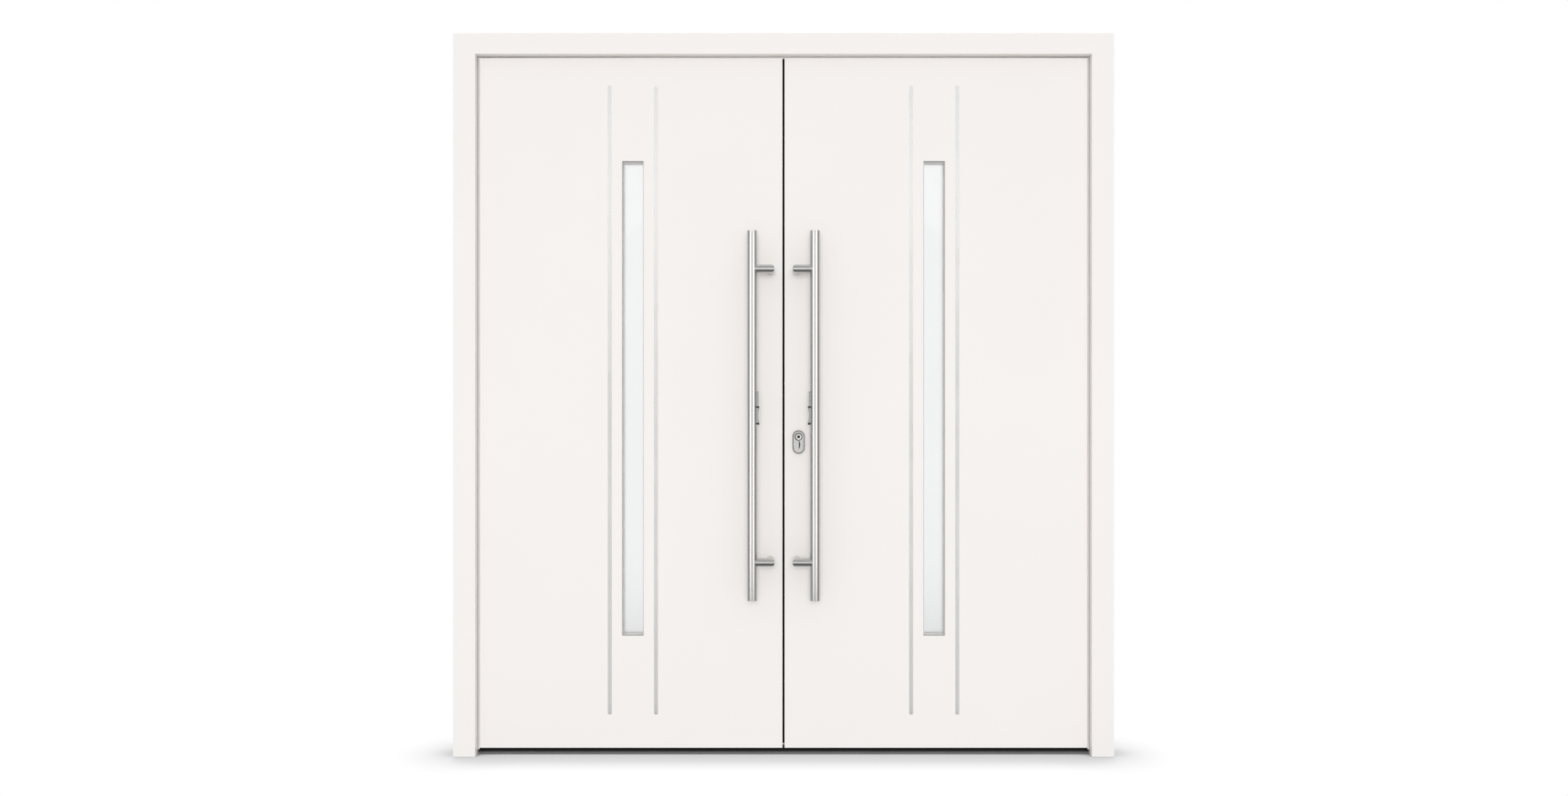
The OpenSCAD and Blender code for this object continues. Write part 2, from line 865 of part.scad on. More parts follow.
// Bores of the flush bolts in the stile
module flush_bores() {
    rod_z(flush_x, lock_v, flush_r + slide_fit, floor_gap - eps, flush_low_z1 + slide_fit);
    rod_z(flush_x, lock_v, flush_r + slide_fit, flush_top_z0 - slide_fit, body_z1 + eps);
}

module left_jamb() {
    color(paint) jamb(-1);
}

module right_jamb() {
    color(paint) jamb(1);
}

module head() {
    color(paint)
        difference() {
            intersection() {
                translate([-half_w, -mid_v, frame_h])
                    rotate([90, 90, 90])
                        linear_extrude(height = frame_w)
                            head_section();
                plate_v(-eps, frame_depth + eps)
                    polygon([
                        [-half_w, frame_h],
                        [half_w, frame_h],
                        [open_x, open_z],
                        [-open_x, open_z]
                    ]);
            }
            rod_z(flush_x, lock_v, flush_r + 2 * slide_fit, rear_z - eps, rear_z + 2 * profile_wall);
        }
}

module threshold() {
    nose = 18;
    nose_h = 2;
    color(alloy)
        difference() {
            union() {
                box(-rear_x, rear_x, lip_depth, frame_depth, 0, threshold_h);
                translate([-open_x, 0, 0])
                    rotate([90, 0, 90])
                        linear_extrude(height = 2 * open_x)
                            polygon([
                                [lip_depth - nose - mid_v, 0],
                                [lip_depth + eps - mid_v, 0],
                                [lip_depth + eps - mid_v, threshold_h],
                                [lip_depth - mid_v, threshold_h],
                                [lip_depth - nose - mid_v, nose_h]
                            ]);
            }
            rod_z(flush_x, lock_v, flush_r + 2 * slide_fit, -eps, threshold_h + eps);
        }
}

module frame_gasket() {
    color(grey_rubber)
        union() {
            gasket_band(gasket_w - 2 * gasket_fit, lip_depth - gasket_groove + gasket_fit, lip_depth);
            gasket_band(gasket_head_w, lip_depth, panel_v1 - gasket_clear);
        }
}

module head_keep() {
    color(steel)
        difference() {
            box(
                flush_x - keep_l / 2, flush_x + keep_l / 2,
                lock_v - keep_w / 2, lock_v + keep_w / 2, rear_z - keep_t, rear_z
            );
            rod_z(flush_x, lock_v, flush_r + 2 * slide_fit, rear_z - keep_t - eps, rear_z + eps);
        }
}

module left_frame_hinge_wings() {
    color(steel) hinge_wings(-1, true);
}

module right_frame_hinge_wings() {
    color(steel) hinge_wings(1, true);
}

module left_hinge_pins() {
    color(steel) hinge_pins(-1);
}

module right_hinge_pins() {
    color(steel) hinge_pins(1);
}

module left_outer_panel() {
    color(paint) outer_panel(-1);
}

module right_outer_panel() {
    color(paint) outer_panel(1);
}

module left_leaf_frame() {
    color(paint)
        difference() {
            leaf_frame(-1);
            for (s = strike_spans)
                edge_plate(-1, s[0], s[1]);
            for (s = flush_spans)
                edge_plate(-1, s[0], s[1]);
            bolt_spaces(-1, bolt_throw + keep_deep);
            flush_bores();
            flush_slots(flush_x, -meet_x);
        }
}

module right_leaf_frame() {
    color(paint)
        difference() {
            leaf_frame(1);
            edge_plate(1, faceplate_z0, faceplate_z1);
            bolt_space(1, low_bolt_z, aux_d, aux_d, dead_l + keep_deep);
            bolt_space(1, high_bolt_z, aux_d, aux_d, dead_l + keep_deep);
            box(plate_x - eps, case_x1, lock_v - case_t / 2, lock_v + case_t / 2, case_z0, case_z1);
            plate_v(panel_v1 - eps, inner_v0 + eps)
                cylinder_profile(slide_fit);
            rod_v(lock_x, lever_z, spindle_hole_r, lock_v, inner_v0 + eps);
        }
}

module left_core() {
    color(foam) core(-1);
}

module right_core() {
    color(foam) core(1);
}

module left_inner_panel() {
    color(paint) inner_panel(-1);
}

module right_inner_panel() {
    color(paint) inner_panel(1);
}

module left_glass_panes() {
    color(frost) glass_panes(-1);
}

module right_glass_panes() {
    color(frost) glass_panes(1);
}

module left_glass_spacer() {
    color(steel) glass_ring(-1, pane_v1, pane_v2, spacer_w);
}

module right_glass_spacer() {
    color(steel) glass_ring(1, pane_v1, pane_v2, spacer_w);
}

module left_glazing_bead() {
    color(paint) glass_ring(-1, pane_v3, frame_depth, glass_lap);
}

module right_glazing_bead() {
    color(paint) glass_ring(1, pane_v3, frame_depth, glass_lap);
}

module left_inlay_strips() {
    color(steel) on_side(-1) inlays(leaf_setback + inlay_sunk, leaf_setback + inlay_groove, turn_fit);
}

module right_inlay_strips() {
    color(steel) on_side(1) inlays(leaf_setback + inlay_sunk, leaf_setback + inlay_groove, turn_fit);
}

module left_pull_bar() {
    color(steel) pull_bar(-1);
}

module right_pull_bar() {
    color(steel) pull_bar(1);
}

module left_bar_caps() {
    color(steel) bar_caps(-1);
}

module right_bar_caps() {
    color(steel) bar_caps(1);
}

module left_bar_arms() {
    color(steel) bar_arms(-1);
}

module right_bar_arms() {
    color(steel) bar_arms(1);
}

module left_bar_bolts() {
    color(steel) bar_bolts(-1);
}

module right_bar_bolts() {
    color(steel) bar_bolts(1);
}

module left_finger_reader() {
    color(dark) finger_reader(-1);
}

module right_finger_reader() {
    color(dark) finger_reader(1);
}

module left_leaf_hinge_wings() {
    color(steel) hinge_wings(-1, false);
}

module right_leaf_hinge_wings() {
    color(steel) hinge_wings(1, false);
}

module left_meeting_seal() {
    color(rubber) meeting_seal(-1);
}

module right_meeting_seal() {
    color(rubber) meeting_seal(1);
}

module left_bottom_seal() {
    color(rubber) bottom_seal(-1);
}

module right_bottom_seal() {
    color(rubber) bottom_seal(1);
}

module strike_plates() {
    color(steel)
        difference() {
            for (s = strike_spans)
                edge_plate(-1, s[0], s[1]);
            bolt_spaces(-1, plate_t + eps);
        }
}

module flush_bolt_plates() {
    color(steel)
        difference() {
            for (s = flush_spans)
                edge_plate(-1, s[0], s[1]);
            flush_slots(-plate_x - eps, -meet_x + eps);
        }
}

module top_flush_bolt() {
    color(steel) {
        rod_z(flush_x, lock_v, flush_r, flush_top_z0, flush_top_z1);
        box(
            flush_x, -meet_x - flush_thumb_sunk, lock_v - flush_thumb_w / 2, lock_v + flush_thumb_w / 2,
            flush_top_z0, flush_top_z0 + flush_thumb_h
        );
    }
}

module bottom_flush_bolt() {
    color(steel) {
        rod_z(flush_x, lock_v, flush_r, flush_low_z0, flush_low_z1);
        box(
            flush_x, -meet_x - flush_thumb_sunk, lock_v - flush_thumb_w / 2, lock_v + flush_thumb_w / 2,
            flush_low_z1 - flush_thumb_h, flush_low_z1
        );
    }
}

module outer_escutcheon() {
    color(steel)
        difference() {
            union() {
                plate_v(escutcheon_v0 + rim_chamfer, leaf_setback)
                    slot_outline(lock_x, escutcheon_z0, escutcheon_z1, escutcheon_r);
                escutcheon_rim();
            }
            plate_v(cylinder_v0, leaf_setback + eps)
                cylinder_profile(slide_fit);
            cone_v(lock_x, cylinder_z, dish_r, profile_r + slide_fit, escutcheon_v0, cylinder_v0);
            plate_v(escutcheon_v0 - eps, escutcheon_v0 + groove_deep)
                finger_groove();
        }
}

module lock_cylinder() {
    color(brass)
        difference() {
            plate_v(cylinder_v0, cylinder_v1)
                cylinder_profile(0);
            rod_v(lock_x, cylinder_z, plug_r, cylinder_v0 - eps, cylinder_v1 + eps);
            box(
                lock_x - 2 * profile_r, lock_x + 2 * profile_r, cam_v0, cam_v1,
                cylinder_z - cam_reach - cam_clear, cylinder_z + 2 * profile_r
            );
        }
}

module key_plug() {
    color(steel)
        difference() {
            rod_v(lock_x, cylinder_z, plug_r - turn_fit, cylinder_v0, cam_v0 - cam_clear);
            box(
                lock_x - keyway_w / 2, lock_x + keyway_w / 2, cylinder_v0 - eps, cylinder_v0 + keyway_deep,
                cylinder_z - keyway_h / 2, cylinder_z + keyway_h / 2
            );
            rod_v(lock_x, cylinder_z, entry_r, cylinder_v0 - eps, cylinder_v0 + entry_deep);
        }
}

module thumb_turn() {
    grip_h = 34;
    grip_r = 6;
    grip_gap = 3;
    grip_v0 = cylinder_v1 + grip_gap;
    grip_t = 15;
    tongue = 8;
    color(steel) {
        rod_v(lock_x, cylinder_z, plug_r - turn_fit, cam_v0 + cam_clear, grip_v0);
        plate_v(cam_v0 + cam_clear, cam_v1 - cam_clear) {
            translate([lock_x, cylinder_z])
                circle(r = profile_r);
            translate([lock_x - tongue / 2, cylinder_z])
                square([tongue, cam_reach - cam_clear]);
        }
        plate_v(grip_v0, grip_v0 + grip_t)
            slot_outline(lock_x, cylinder_z - grip_h / 2, cylinder_z + grip_h / 2, grip_r);
    }
}

module lock_faceplate() {
    color(steel)
        difference() {
            edge_plate(1, faceplate_z0, faceplate_z1);
            bolt_spaces(1, plate_t + eps);
        }
}

module lock_case() {
    half = case_t / 2;
    color(dark)
        difference() {
            box(plate_x, case_x1, lock_v - half, lock_v + half, case_z0, case_z1);
            box(
                plate_x - eps, case_x1 - case_wall,
                lock_v - half + case_wall, lock_v + half - case_wall,
                case_z0 + case_wall, case_z1 - case_wall
            );
            plate_v(lock_v - half - eps, lock_v + half + eps)
                cylinder_profile(slide_fit);
            rod_v(lock_x, lever_z, spindle_hole_r, lock_v - half - eps, lock_v + half + eps);
        }
}

module latch_bolt() {
    nose = 9;
    tip = 3;
    back = lock_v + bolt_t / 2 - mid_v;
    color(steel)
        translate([bolt_x0, 0, latch_z - latch_h / 2])
            linear_extrude(height = latch_h)
                polygon([
                    [0, back],
                    [0, back - tip],
                    [nose, back - bolt_t],
                    [latch_l, back - bolt_t],
                    [latch_l, back]
                ]);
}

module dead_bolt() {
    color(steel)
        box(
            bolt_x0, bolt_x0 + dead_l, lock_v - bolt_t / 2, lock_v + bolt_t / 2,
            dead_z - dead_bolt_h / 2, dead_z + dead_bolt_h / 2
        );
}

module auxiliary_bolts() {
    color(steel)
        for (z = [low_bolt_z, high_bolt_z])
            rod_x(bolt_x0, bolt_x0 + dead_l, lock_v, z, aux_d / 2);
}

module inside_handle_plate() {
    color(steel)
        difference() {
            plate_v(frame_depth, frame_depth + handle_plate_t)
                difference() {
                    slot_outline(lock_x, handle_plate_z0, handle_plate_z1, handle_plate_w / 2);
                    cylinder_profile(slide_fit);
                }
            rod_v(
                lock_x, lever_z, neck_r + turn_fit,
                frame_depth - eps, frame_depth + handle_plate_t + eps
            );
        }
}

module inside_lever() {
    color(steel)
        difference() {
            union() {
                rod_v(lock_x, lever_z, neck_r, frame_depth + neck_clear, lever_v);
                rod_x(lock_x - lever_r, lock_x + lever_l - lever_r, lever_v, lever_z, lever_r);
                translate([lock_x + lever_l - lever_r, lever_v - mid_v, lever_z])
                    sphere(r = lever_r);
            }
            box(
                lock_x - spindle_w / 2, lock_x + spindle_w / 2,
                frame_depth, frame_depth + spindle_reach, lever_z - spindle_w / 2, lever_z + spindle_w / 2
            );
        }
}

module lever_spindle() {
    color(dark) {
        box(
            lock_x - spindle_w / 2, lock_x + spindle_w / 2, lock_v, frame_depth + spindle_reach,
            lever_z - spindle_w / 2, lever_z + spindle_w / 2
        );
        rod_v(lock_x, lever_z, follower_r, lock_v - follower_t / 2, lock_v + follower_t / 2);
    }
}

left_jamb();
right_jamb();
head();
threshold();
frame_gasket();
head_keep();
left_frame_hinge_wings();
right_frame_hinge_wings();
left_hinge_pins();
right_hinge_pins();
left_outer_panel();
right_outer_panel();
left_leaf_frame();
right_leaf_frame();
left_core();
right_core();
left_inner_panel();
right_inner_panel();
left_glass_panes();
right_glass_panes();
left_glass_spacer();
right_glass_spacer();
left_glazing_bead();
right_glazing_bead();
left_inlay_strips();
right_inlay_strips();
left_pull_bar();
right_pull_bar();
left_bar_caps();
right_bar_caps();
left_bar_arms();
right_bar_arms();
left_bar_bolts();
right_bar_bolts();
left_finger_reader();
right_finger_reader();
left_leaf_hinge_wings();
right_leaf_hinge_wings();
left_meeting_seal();
right_meeting_seal();
left_bottom_seal();
right_bottom_seal();
strike_plates();
flush_bolt_plates();
top_flush_bolt();
bottom_flush_bolt();
outer_escutcheon();
lock_cylinder();
key_plug();
thumb_turn();
lock_faceplate();
lock_case();
latch_bolt();
dead_bolt();
auxiliary_bolts();
inside_handle_plate();
inside_lever();
lever_spindle();
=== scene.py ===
import math
import bmesh
import bpy
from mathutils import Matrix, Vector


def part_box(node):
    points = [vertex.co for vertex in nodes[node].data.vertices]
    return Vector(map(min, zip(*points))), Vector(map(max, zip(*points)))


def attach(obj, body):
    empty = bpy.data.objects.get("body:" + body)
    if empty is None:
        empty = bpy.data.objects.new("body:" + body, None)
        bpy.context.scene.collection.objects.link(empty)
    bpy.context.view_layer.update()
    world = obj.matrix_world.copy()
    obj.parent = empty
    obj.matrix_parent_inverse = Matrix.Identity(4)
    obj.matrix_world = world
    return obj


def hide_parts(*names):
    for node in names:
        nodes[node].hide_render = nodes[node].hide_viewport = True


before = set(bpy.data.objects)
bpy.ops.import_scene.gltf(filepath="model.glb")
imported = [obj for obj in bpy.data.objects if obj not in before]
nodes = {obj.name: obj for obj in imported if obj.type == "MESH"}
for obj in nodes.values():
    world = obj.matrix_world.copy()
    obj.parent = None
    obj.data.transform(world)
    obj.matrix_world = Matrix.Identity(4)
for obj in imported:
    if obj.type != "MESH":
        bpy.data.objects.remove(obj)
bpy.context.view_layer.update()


# Jambs and head: hollow aluminium profiles, mitred and screwed at the corners.
# They are powder coated in a warm white with a fine orange peel, like the panels of the leaves.
class Tone:
    """One socket of a node tree that is being drawn; arithmetic on it adds Math nodes."""

    def __init__(self, tree, socket=None):
        self.tree = tree
        self.socket = socket

    def node(self, kind, settings=(), sockets=(), out=0):
        made = self.tree.nodes.new(kind)
        for name, value in dict(settings).items():
            if name == "stops":
                while len(made.color_ramp.elements) < len(value):
                    made.color_ramp.elements.new(0.5)
                for element, (place, colour) in zip(made.color_ramp.elements, value):
                    element.position = place
                    element.color = colour
            else:
                setattr(made, name, value)
        for name, value in dict(sockets).items():
            if isinstance(value, Tone):
                self.tree.links.new(value.socket, made.inputs[name])
            else:
                made.inputs[name].default_value = value
        return Tone(self.tree, made.outputs[out] if made.outputs else None)

    def math(self, operation, a, b=0.0):
        return self.node("ShaderNodeMath", {"operation": operation}, {0: a, 1: b})

    def __add__(self, other):
        return self.math("ADD", self, other)

    def __sub__(self, other):
        return self.math("SUBTRACT", self, other)

    def __rsub__(self, other):
        return self.math("SUBTRACT", other, self)

    def __mul__(self, other):
        return self.math("MULTIPLY", self, other)

    def __truediv__(self, other):
        return self.math("DIVIDE", self, other)

    def __rtruediv__(self, other):
        return self.math("DIVIDE", other, self)

    def __gt__(self, other):
        return self.math("GREATER_THAN", self, other)

    def __lt__(self, other):
        return self.math("LESS_THAN", self, other)

    def __abs__(self):
        return self.math("ABSOLUTE", self)

    __radd__ = __add__
    __rmul__ = __mul__

    def noise(self, scale, detail=2.0, stretch=(1.0, 1.0, 1.0)):
        spread = self.node("ShaderNodeMapping", {}, {"Vector": self, "Scale": stretch})
        return self.node("ShaderNodeTexNoise", {}, {"Vector": spread, "Scale": scale, "Detail": detail})

    def mixed(self, base, over):
        """Colour that goes from base to over as this value goes from 0 to 1."""
        return self.node("ShaderNodeMix", {"data_type": "RGBA"}, {0: self, 6: base, 7: over}, out=2)

    def between(self, low, high):
        return self.mixed((*low, 1.0), (*high, 1.0))

    def ramp(self, start, stop):
        """Value that rises smoothly from 0 at start to 1 at stop."""
        return self.node("ShaderNodeMapRange", {"interpolation_type": "SMOOTHSTEP"},
                         {"Value": self, "From Min": start, "From Max": stop})

    def axis(self, name):
        return self.node("ShaderNodeSeparateXYZ", {}, {0: self}, out=name)

    def relief(self, height, strength, depth):
        return self.node("ShaderNodeBump", {}, {"Strength": strength, "Distance": depth, "Height": height})

    def skin(self, colour, roughness, normal, metallic=0.0, **fixed):
        sockets = {"Base Color": colour, "Roughness": roughness, "Normal": normal, "Metallic": metallic}
        for name, value in fixed.items():
            sockets["IOR" if name == "ior" else name.replace("_", " ").title()] = value
        return self.node("ShaderNodeBsdfPrincipled", {}, sockets)


def finish(name, draw):
    """Material of that name, drawn on the piece's own coordinates."""
    material = bpy.data.materials.new(name)
    material.use_nodes = True
    material.node_tree.nodes.clear()
    place = Tone(material.node_tree).node("ShaderNodeTexCoord", out="Object")
    place.node("ShaderNodeOutputMaterial", {}, {"Surface": draw(place)})
    return material


def dress(material, *names):
    for name in names:
        nodes[name].data.materials.clear()
        nodes[name].data.materials.append(material)


def draw_powder_coat(place):
    peel = place.noise(620.0, 2.0)
    cloud = place.noise(2.4, 2.0)
    colour = cloud.between((0.885, 0.850, 0.825), (0.905, 0.872, 0.848))
    return place.skin(colour, 0.36 + 0.10 * peel, place.relief(peel, 0.10, 0.0003))


powder_coat = finish("white_powder_coat", draw_powder_coat)
dress(powder_coat, "left_jamb", "right_jamb", "head")


# Threshold: an aluminium extrusion with a sloping nose, screwed to the floor between the jambs.
# Its upper half is painted black, as painted shade for the dark gap under the leaves; the metal shows the
# lines of the die.
shade_top_from, shade_top_black = 0.007, (0.008, 0.008, 0.009, 1.0)


def draw_threshold(place):
    lines = place.noise(1.0, 3.0, (3.0, 900.0, 900.0))
    worn = place.noise(9.0, 3.0)
    # Painted shade: above this height the threshold is coloured black for the dark under the leaves.
    shade_top = place.axis("Z") > shade_top_from
    metal = lines.between((0.30, 0.30, 0.305), (0.40, 0.40, 0.405))
    rough = 0.42 + 0.16 * worn + 0.14 * shade_top
    return place.skin(shade_top.mixed(metal, shade_top_black), rough, place.relief(lines, 0.25, 0.0002), 1.0 - shade_top)


threshold_finish = finish("threshold_metal_and_painted_shade", draw_threshold)
dress(threshold_finish, "threshold")


# Frame gasket and leaf seals: extruded rubber, pushed into grooves and mitred at the corners.
# The pale one round the rebate of the frame has a fin that closes the gap beside the leaf;
# the black ones in the meeting edges lap, and the black ones under the leaves brush the threshold.
def draw_rubber(low, high):
    def draw(place):
        bloom = place.noise(40.0, 3.0)
        pores = place.noise(1500.0, 1.0)
        return place.skin(bloom.between(low, high), 0.58 + 0.18 * bloom, place.relief(pores, 0.2, 0.0002))
    return draw


def new_tree(name, **kinds):
    """Geometry tree for one kind of piece: a mesh and the named inputs come in, a mesh goes out."""
    tree = bpy.data.node_groups.new(name, "GeometryNodeTree")
    tree.interface.new_socket("Geometry", in_out="INPUT", socket_type="NodeSocketGeometry")
    for label, kind in kinds.items():
        tree.interface.new_socket(label, in_out="INPUT", socket_type="NodeSocket" + kind)
    tree.interface.new_socket("Geometry", in_out="OUTPUT", socket_type="NodeSocketGeometry")
    entry = tree.nodes.new("NodeGroupInput")
    return tree, {socket.name: Tone(tree, socket) for socket in entry.outputs if socket.name}


def end_tree(shape, material):
    whole = shape.node("GeometryNodeRealizeInstances", {}, {"Geometry": shape})
    coated = shape.node("GeometryNodeSetMaterial", {}, {"Geometry": whole, "Material": material})
    shape.node("NodeGroupOutput", {}, {0: coated})


def into_scene(name, mesh):
    made = bpy.data.objects.new(name, mesh)
    bpy.context.scene.collection.objects.link(made)
    return made


def grow(name, start, tree, **values):
    """Plain mesh piece that the tree makes from the start mesh with these values."""
    host = into_scene(name + "_start", start)
    maker = host.modifiers.new("maker", "NODES")
    maker.node_group = tree
    for entry in tree.interface.items_tree:
        if entry.in_out == "INPUT" and entry.name in values:
            maker[entry.identifier] = values[entry.name]
    shown = bpy.context.evaluated_depsgraph_get()
    mesh = bpy.data.meshes.new_from_object(
        host.evaluated_get(shown), preserve_all_data_layers=True, depsgraph=shown
    )
    host.modifiers.remove(maker)
    bpy.data.objects.remove(host)
    mesh.name = name
    return into_scene(name, mesh)


seal_tree, seal_in = new_tree("swept_seal", Section="Object", Depth="Float", Finish="Material")
section = seal_in["Section"].node(
    "GeometryNodeObjectInfo", {}, {"Object": seal_in["Section"]}, out="Geometry"
)
outline = section.node("GeometryNodeMeshToCurve", {}, {"Mesh": section})
route = section.node("GeometryNodeMeshToCurve", {}, {"Mesh": seal_in["Geometry"]})
steady = route.node("GeometryNodeSetCurveNormal", {"mode": "FREE"},
                    {"Curve": route, "Normal": (0.0, -1.0, 0.0)})
reach = route.node("GeometryNodeInputNamedAttribute", {"data_type": "FLOAT"}, {"Name": "mitre"})
run = route.node("GeometryNodeCurveToMesh", {},
                 {"Curve": steady, "Profile Curve": outline, "Scale": reach, "Fill Caps": True})
spot = route.node("GeometryNodeInputPosition")
level = seal_in["Depth"] + (spot.axis("Y") - seal_in["Depth"]) / reach
mitred = route.node("ShaderNodeCombineXYZ", {}, {"X": spot.axis("X"), "Y": level, "Z": spot.axis("Z")})
swept = route.node("GeometryNodeSetPosition", {}, {"Geometry": run, "Position": mitred})
end_tree(swept, seal_in["Finish"])


def sweep_seal(name, section_points, route_points, closed, material):
    """Seal of one section along a route in the plane of the door.
    Section points are millimetres to the front and to the right of the way that the route goes."""
    count = len(section_points)
    section_mesh = bpy.data.meshes.new(name + "_section")
    section_mesh.from_pydata(
        [(front / 1000, right / 1000, 0.0) for front, right in section_points],
        [(i, (i + 1) % count) for i in range(count)], []
    )
    section_holder = into_scene(name + "_section", section_mesh)
    last = len(route_points) - 1
    route_mesh = bpy.data.meshes.new(name + "_route")
    route_mesh.from_pydata(
        route_points, [(i, i + 1) for i in range(last)] + ([(last, 0)] if closed else []), []
    )
    mitre = route_mesh.attributes.new("mitre", "FLOAT", "POINT")
    for i, value in enumerate(mitre.data):
        value.value = math.sqrt(2.0) if closed or 0 < i < last else 1.0
    depth = route_points[0][1]
    piece = grow(name, route_mesh, seal_tree, Section=section_holder, Depth=depth, Finish=material)
    bpy.data.objects.remove(section_holder)
    facing = bmesh.new()
    facing.from_mesh(piece.data)
    bmesh.ops.recalc_face_normals(facing, faces=facing.faces)
    facing.to_mesh(piece.data)
    facing.free()
    return piece


pale_rubber = finish("pale_grey_rubber", draw_rubber((0.83, 0.825, 0.815), (0.90, 0.895, 0.885)))
black_rubber = finish("black_rubber", draw_rubber((0.010, 0.010, 0.011), (0.020, 0.020, 0.021)))

gasket_x, gasket_z0, gasket_z1 = 0.942, 0.014, 2.1363
fin_section = [
    (0.0, -4.5), (0.0, -2.4), (2.6, -2.4), (3.9, -1.2), (3.9, 1.2), (2.6, 2.4), (0.0, 2.4), (0.0, 8.9),
    (0.6, 9.4), (8.5, 9.6), (11.5, 10.6), (13.2, 12.4), (13.8, 14.4), (12.8, 14.9), (11.4, 13.4),
    (9.4, 12.0), (6.0, 11.4), (0.4, 11.2), (-1.4, 9.4), (-1.8, 6.0), (-3.7, 3.6), (-3.7, -3.2), (-2.6, -4.5),
]
gasket_corners = ((-gasket_x, gasket_z0), (-gasket_x, gasket_z1), (gasket_x, gasket_z1), (gasket_x, gasket_z0))
gasket_route = [(x, 0.0, z) for x, z in gasket_corners]
frame_seal = sweep_seal("frame_gasket_fin", fin_section, gasket_route, False, pale_rubber)
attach(frame_seal, "frame")
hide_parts("frame_gasket")

seal_y = 0.036
lapping_section = [
    (-2.8, -8.2), (2.8, -8.2), (2.8, -3.2), (3.6, -2.2), (4.3, 0.9), (3.5, 1.2), (2.5, -0.4), (0.6, -0.6),
    (-1.6, -0.6), (-2.8, -1.8),
]
plain_section = [
    (-2.8, 8.2), (-2.8, 1.8), (-1.6, 0.6), (0.6, 0.6), (1.9, 1.4), (2.3, 2.6), (2.8, 3.2), (2.8, 8.2),
]
for side, shape in (("left", lapping_section), ("right", plain_section)):
    low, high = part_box(side + "_meeting_seal")
    upright = [(0.0, seal_y, low.z), (0.0, seal_y, high.z)]
    meeting_seal = sweep_seal(side + "_meeting_lip", shape, upright, False, black_rubber)
    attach(meeting_seal, side + "_leaf")
    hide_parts(side + "_meeting_seal")
    dress(black_rubber, side + "_bottom_seal")


# Hinges: three on each side, stainless wings screwed to the frame and the leaf, on pins with flat heads.
# The keep for the upper flush bolt is a plate of the same steel under the head.
def draw_satin_steel(stretch, low, high, polish):
    def draw(place):
        grain = place.noise(1.0, 2.0, stretch)
        cloud = place.noise(14.0, 3.0)
        colour = (0.6 * grain + 0.4 * cloud).between(low, high)
        rough = polish + 0.10 * grain + 0.06 * cloud
        return place.skin(colour, rough, place.relief(grain, 0.04, 0.0001), metallic=1.0)
    return draw


upright_grain, plate_low, plate_high = (1400.0, 1400.0, 9.0), (0.50, 0.495, 0.485), (0.64, 0.635, 0.625)
upright_steel = finish(
    "steel_brushed_upright", draw_satin_steel(upright_grain, plate_low, plate_high, 0.20)
)
turned_steel = finish(
    "steel_turned", draw_satin_steel((60.0, 60.0, 2200.0), (0.48, 0.475, 0.465), (0.60, 0.595, 0.585), 0.22)
)
for side in ("left", "right"):
    dress(upright_steel, side + "_frame_hinge_wings", side + "_leaf_hinge_wings")
    dress(turned_steel, side + "_hinge_pins")
dress(upright_steel, "head_keep")


def screw_head(name):
    """Low domed head with a hexagon socket, of radius 1, standing on z = 0."""
    around, dome_steps, base_z, crown_z = 24, 4, -0.10, 0.42
    rim_r, socket_flat, lip_z, socket_z = 0.62, 0.46, 0.40, 0.05
    angles = [2 * math.pi * i / around for i in range(around)]
    rings = [[(1.0, base_z)] * around]
    for step in range(dome_steps + 1):
        swing = step / dome_steps * math.pi / 2
        rings.append([(1.0 - (1.0 - rim_r) * math.sin(swing), crown_z * math.sin(swing) ** 0.8)] * around)
    hexagon = [socket_flat / math.cos(angle % (math.pi / 3) - math.pi / 6) for angle in angles]
    rings.append([(r, lip_z) for r in hexagon])
    rings.append([(r, socket_z) for r in hexagon])
    points = []
    for ring in rings:
        points += [(r * math.cos(angle), r * math.sin(angle), z) for angle, (r, z) in zip(angles, ring)]
    faces = [tuple(reversed(range(around)))]
    for k in range(len(rings) - 1):
        for i in range(around):
            j = (i + 1) % around
            faces.append((k * around + i, k * around + j, (k + 1) * around + j, (k + 1) * around + i))
    faces.append(tuple((len(rings) - 1) * around + i for i in range(around)))
    mesh = bpy.data.meshes.new(name)
    mesh.from_pydata(points, [], faces)
    return into_scene(name, mesh)


screw_tree, screw_in = new_tree("screw_rows", Head="Object", Seed="Int", Finish="Material")
head_shape = screw_in["Head"].node(
    "GeometryNodeObjectInfo", {}, {"Object": screw_in["Head"]}, out="Geometry"
)
outward = head_shape.node(
    "GeometryNodeInputNamedAttribute", {"data_type": "FLOAT_VECTOR"}, {"Name": "facing"}
)
head_size = head_shape.node("GeometryNodeInputNamedAttribute", {"data_type": "FLOAT"}, {"Name": "size"})
stood = head_shape.node("FunctionNodeAlignRotationToVector", {"axis": "Z"}, {"Vector": outward})
twist = head_shape.node("FunctionNodeRandomValue", {"data_type": "FLOAT"},
                        {2: 0.0, 3: 2 * math.pi, "Seed": screw_in["Seed"]}, out=1)
about = head_shape.node("FunctionNodeAxisAngleToRotation", {}, {"Axis": (0.0, 0.0, 1.0), "Angle": twist})
driven = head_shape.node("FunctionNodeRotateRotation", {"rotation_space": "LOCAL"},
                         {"Rotation": stood, "Rotate By": about})
rows = head_shape.node("GeometryNodeInstanceOnPoints", {}, {
    "Points": screw_in["Geometry"], "Instance": head_shape, "Rotation": driven, "Scale": head_size,
})
end_tree(rows, screw_in["Finish"])


